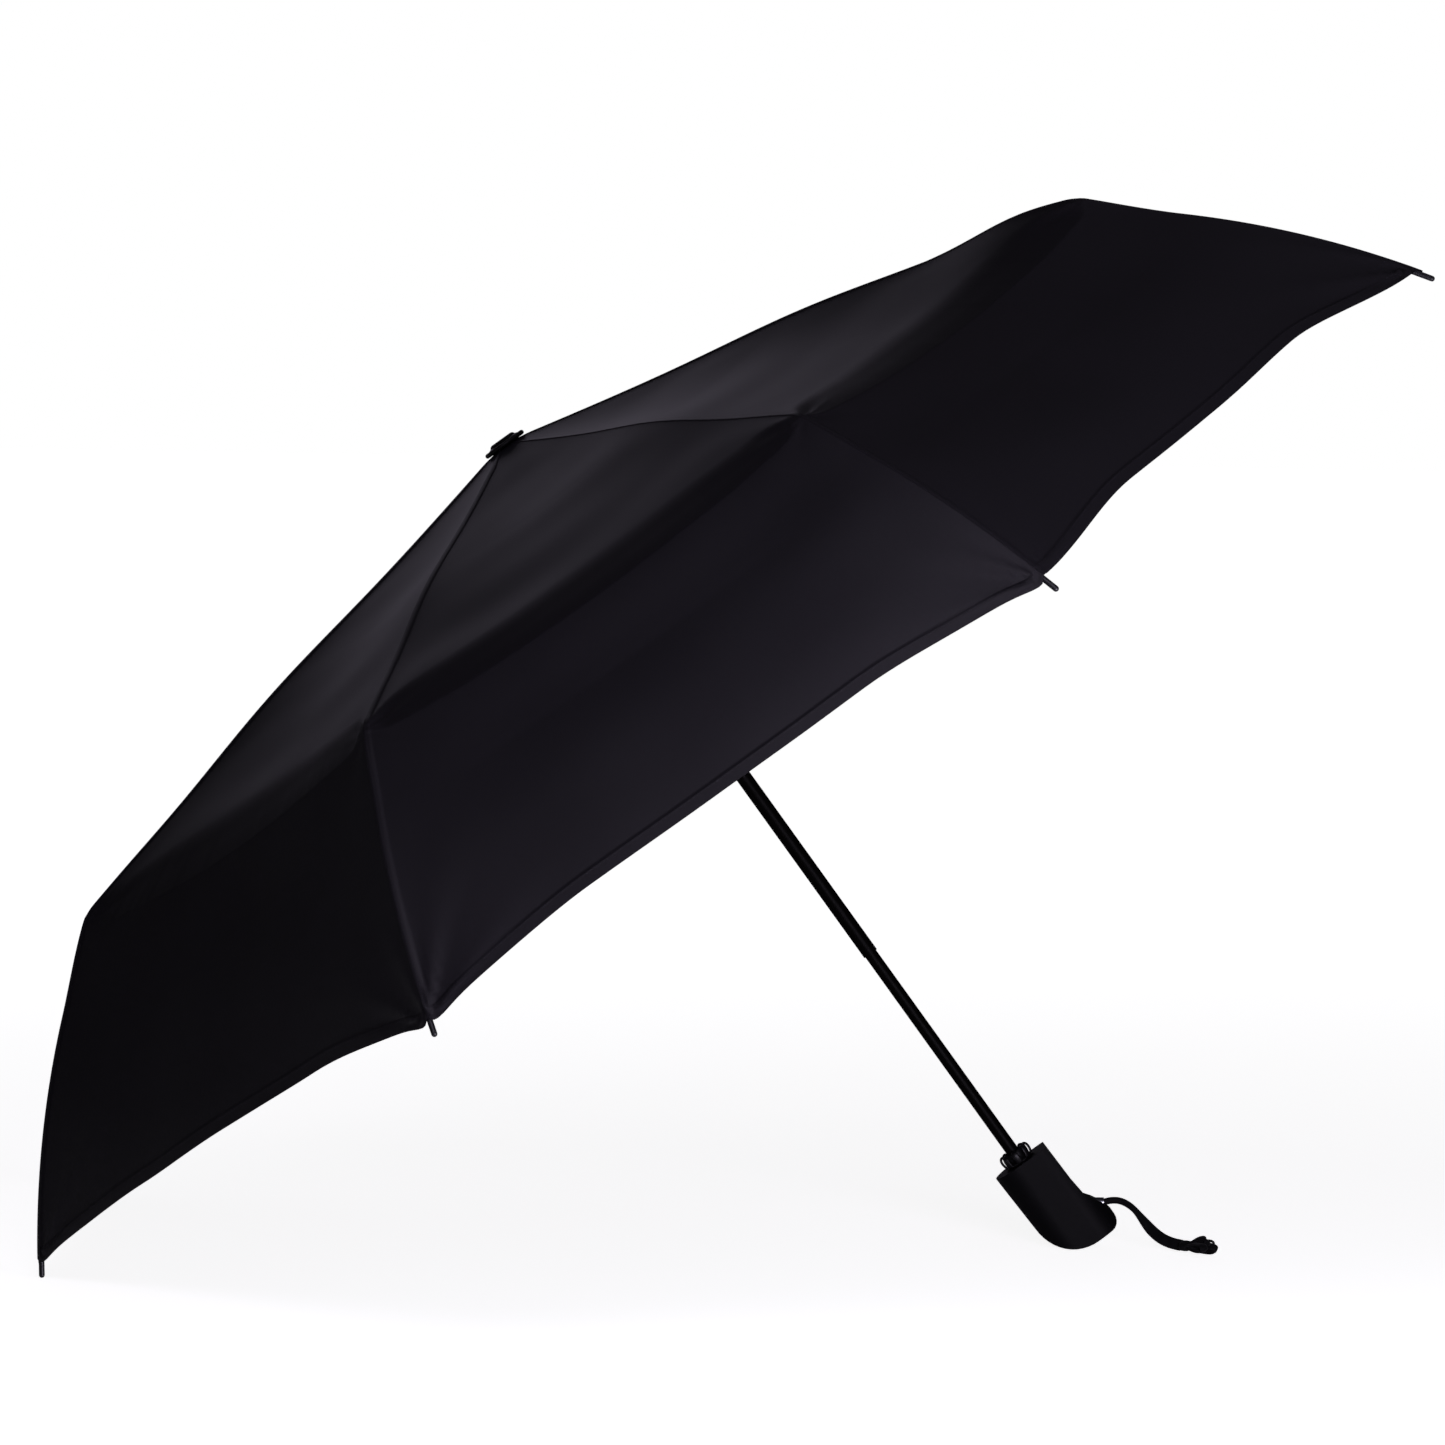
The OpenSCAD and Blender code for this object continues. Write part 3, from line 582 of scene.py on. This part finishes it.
# Hard parts keep their shape and get their real finish
def makeHard(name, low, high, grain, height, **values):
    # colour drifts between two tones, with a fine grain whose size is in mm
    material, shader = newMaterial(name, **values)
    place = addNode(material, "ShaderNodeTexCoord").outputs["Object"]
    drift = addNode(material, "ShaderNodeTexNoise", [("Vector", place)], [("Scale", 60.0), ("Detail", 4)])
    colour = addNode(material, "ShaderNodeMix", [("Factor", drift.outputs["Fac"])],
                     [("A", hexColor(low)), ("B", hexColor(high))], data_type="RGBA")
    fine = addNode(material, "ShaderNodeTexNoise", [("Vector", place)],
                   [("Scale", 1 / (grain * mm)), ("Detail", 2)])
    bump = addNode(material, "ShaderNodeBump", [("Height", fine.outputs["Fac"])],
                   [("Strength", 0.5), ("Distance", height * mm)])
    tree = material.node_tree
    tree.links.new(colour.outputs["Result"], shader.inputs["Base Color"])
    tree.links.new(bump.outputs[0], shader.inputs["Normal"])
    return material


# Soft-touch ABS: moulded, spark-eroded grain about 0.4 mm, dull and even
softTouchAbs = makeHard("softTouchAbs", "#040405", "#070709", 0.4, 0.06,
                        Roughness=0.6, Specular_IOR_Level=0.1)
# Moulded nylon: a little glossier, for the crown, runner, cap and button
mouldedNylon = makeHard("mouldedNylon", "#060607", "#0c0c0e", 0.6, 0.03,
                        Roughness=0.42, Specular_IOR_Level=0.3)
# Steel tube with baked black enamel: an even, deep black with a low gloss
enamelledTube = makeHard("blackEnamelledTube", "#040303", "#060504", 0.8, 0.02,
                         Roughness=0.45, Specular_IOR_Level=0.04)
# Steel strip with black electrophoretic paint: thin, slightly grey on the edges
paintedRib = makeHard("blackPaintedRibSteel", "#131315", "#222226", 0.5, 0.02, Roughness=0.36)
# Zinc-plated wire: bright with a grey cast
zincWire = makeHard("zincPlatedWire", "#8d9096", "#b4b6ba", 0.3, 0.01, Roughness=0.3, Metallic=1.0)
finishes = {}
for finish, names in ((paintedRib, ("upper_rib", "middle_rib", "outer_rib", "stretcher")),
                      (mouldedNylon, ("crown", "cap", "runner", "middle_tube_plug", "push_button")),
                      (softTouchAbs, ("tip_holder", "handle_front", "handle_back")),
                      (enamelledTube, ("upper_tube", "middle_tube", "lower_tube")),
                      (zincWire, ("strap_eyelet", "crown_wire", "runner_wire", "drive_spring",
                                  "button_spring", "handle_screws"))):
    finishes.update({name: finish for name in names})
for name, node in nodes.items():
    finish = finishes.get(name) or finishes.get(name.rsplit("_", 1)[0])
    if finish:
        node.data.materials.clear()
        node.data.materials.append(finish)
print("finishes given")

# Collar above the handle: a sleeve, a base ring and arched petals that the rib tips go between
collar = dict(below=515, sleeveR=5.7, sleeveWall=0.7, sleeveH=7.4, baseR=8.6, baseH=1.5, steps=64,
              petalThick=1.5, petalSides=12, between=3,
              petal=((5.9, 6.6, 1.8), (6.5, 7.5, 2.2), (7.6, 7.9, 2.8), (8.7, 7.1, 3.4), (9.2, 5.5, 3.8),
                     (9.1, 3.6, 4.0), (8.7, 1.8, 4.2), (8.3, 0.6, 4.2)))


def turned(bm, outline, steps):
    # a closed outline of (radius, height) turned about the shaft
    verts = [bm.verts.new((r * mm, 0, z * mm)) for r, z in outline]
    edges = [bm.edges.new((a, b)) for a, b in zip(verts, verts[1:] + verts[:1])]
    bmesh.ops.spin(bm, geom=verts + edges, cent=(0, 0, 0), axis=(0, 0, 1), angle=2 * math.pi, steps=steps,
                   use_merge=True)


def makeCollar(material):
    c = collar
    inner, outer = c["sleeveR"], c["sleeveR"] + c["sleeveWall"]
    bm = bmesh.new()
    turned(bm, ((inner, 0.1), (outer, 0.1), (outer, c["sleeveH"] - 0.3), (outer - 0.2, c["sleeveH"]),
                (inner, c["sleeveH"])), c["steps"])
    turned(bm, ((outer - 0.1, 0.1), (c["baseR"], 0.1), (c["baseR"] + 0.2, 0.5),
                (c["baseR"] - 0.1, c["baseH"]), (outer - 0.1, c["baseH"] + 0.3)), c["steps"])
    # a petal's points are radius, height and width
    route = smoothRoute([Vector(p) for p in c["petal"]], c["between"])
    for k in range(ribs["count"]):
        az = 2 * math.pi * k / ribs["count"]
        out, tangent = Vector((math.cos(az), math.sin(az), 0)), Vector((-math.sin(az), math.cos(az), 0))
        sweepTape(bm, [(out * p.x + Vector((0, 0, p.y))) * mm for p in route],
                  lambda t: (route[round(t * (len(route) - 1))].z * mm, c["petalThick"] * mm),
                  lambda t: tangent, c["petalSides"])
    bmesh.ops.recalc_face_normals(bm, faces=bm.faces)
    seat = Matrix.Translation(apex - shaftUp * c["below"] * mm) @ turn.to_4x4()
    bmesh.ops.transform(bm, verts=bm.verts, matrix=seat)
    piece = addPiece("tip_collar", bm, material)
    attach(piece, "handle")
    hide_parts("tip_holder")


makeCollar(mouldedNylon)
print("collar made")

# Studio: each lamp has its power in watts, its place and its size
studio = dict(floorSize=60, floorNear=0.88, floorFar=1.0, floorGlow=0.06, glowFrom=0.6, glowTo=2.5,
              worldWhite=1.0, worldGrey=0.02, tint="#f1e8ff", aim=(0, 0, 0.3),
              lamps=(("softbox", 2.0, (0.6, -0.4, 2.6), 2.0),
                     ("back_light", 2.2, (-0.7, 2.7, 1.25), 1.3),
                     ("front_fill", 12.0, (0.42, -1.15, 0.06), 0.6),
                     ("side_fill", 1.25, (-0.3, -0.85, 0.95), 0.5)))


def makeStudio():
    # Pale matt floor: it gives off almost no light of its own, but the camera sees it nearly white
    material, shader = newMaterial("paleStudioFloor", Base_Color=hexColor("#f4f4f4"), Roughness=0.9)
    shader.inputs["Emission Color"].default_value = (1, 1, 1, 1)
    # it brightens into the white of the backdrop away from the object
    place = addNode(material, "ShaderNodeTexCoord").outputs["Object"]
    away = addNode(material, "ShaderNodeVectorMath", [(0, place)], operation="LENGTH")
    glow = addNode(material, "ShaderNodeMapRange", [("Value", away.outputs["Value"])],
                   [("From Min", studio["glowFrom"]), ("From Max", studio["glowTo"]),
                    ("To Min", studio["floorNear"]), ("To Max", studio["floorFar"])])
    rays = addNode(material, "ShaderNodeLightPath")
    seen = addNode(material, "ShaderNodeMix",
                   [("Factor", rays.outputs["Is Camera Ray"]), ("B", glow.outputs[0])],
                   [("A", studio["floorGlow"])], data_type="FLOAT")
    material.node_tree.links.new(seen.outputs[0], shader.inputs["Emission Strength"])
    bm = bmesh.new()
    bmesh.ops.create_grid(bm, x_segments=1, y_segments=1, size=studio["floorSize"] / 2)
    floor = addPiece("floor", bm, material)
    world = bpy.data.worlds.new("studio")
    scene.world = world
    world.use_nodes = True
    tree = world.node_tree
    back = tree.nodes["Background"]
    back.inputs["Color"].default_value = (1, 1, 1, 1)
    rays = tree.nodes.new("ShaderNodeLightPath")
    level = tree.nodes.new("ShaderNodeMapRange")
    level.inputs["To Min"].default_value = studio["worldGrey"]
    level.inputs["To Max"].default_value = studio["worldWhite"]
    tree.links.new(rays.outputs["Is Camera Ray"], level.inputs["Value"])
    tree.links.new(level.outputs[0], back.inputs["Strength"])
    for name, power, place, size in studio["lamps"]:
        light = bpy.data.lights.new(name, "AREA")
        light.shape, light.size, light.energy = "DISK", size, power
        light.color = hexColor(studio["tint"])[:3]
        lamp = bpy.data.objects.new(name, light)
        lamp.location = place
        lamp.rotation_euler = (Vector(studio["aim"]) - lamp.location).to_track_quat("-Z", "Y").to_euler()
        scene.collection.objects.link(lamp)
    scene.view_settings.view_transform = "Standard"


makeStudio()
print("studio made")
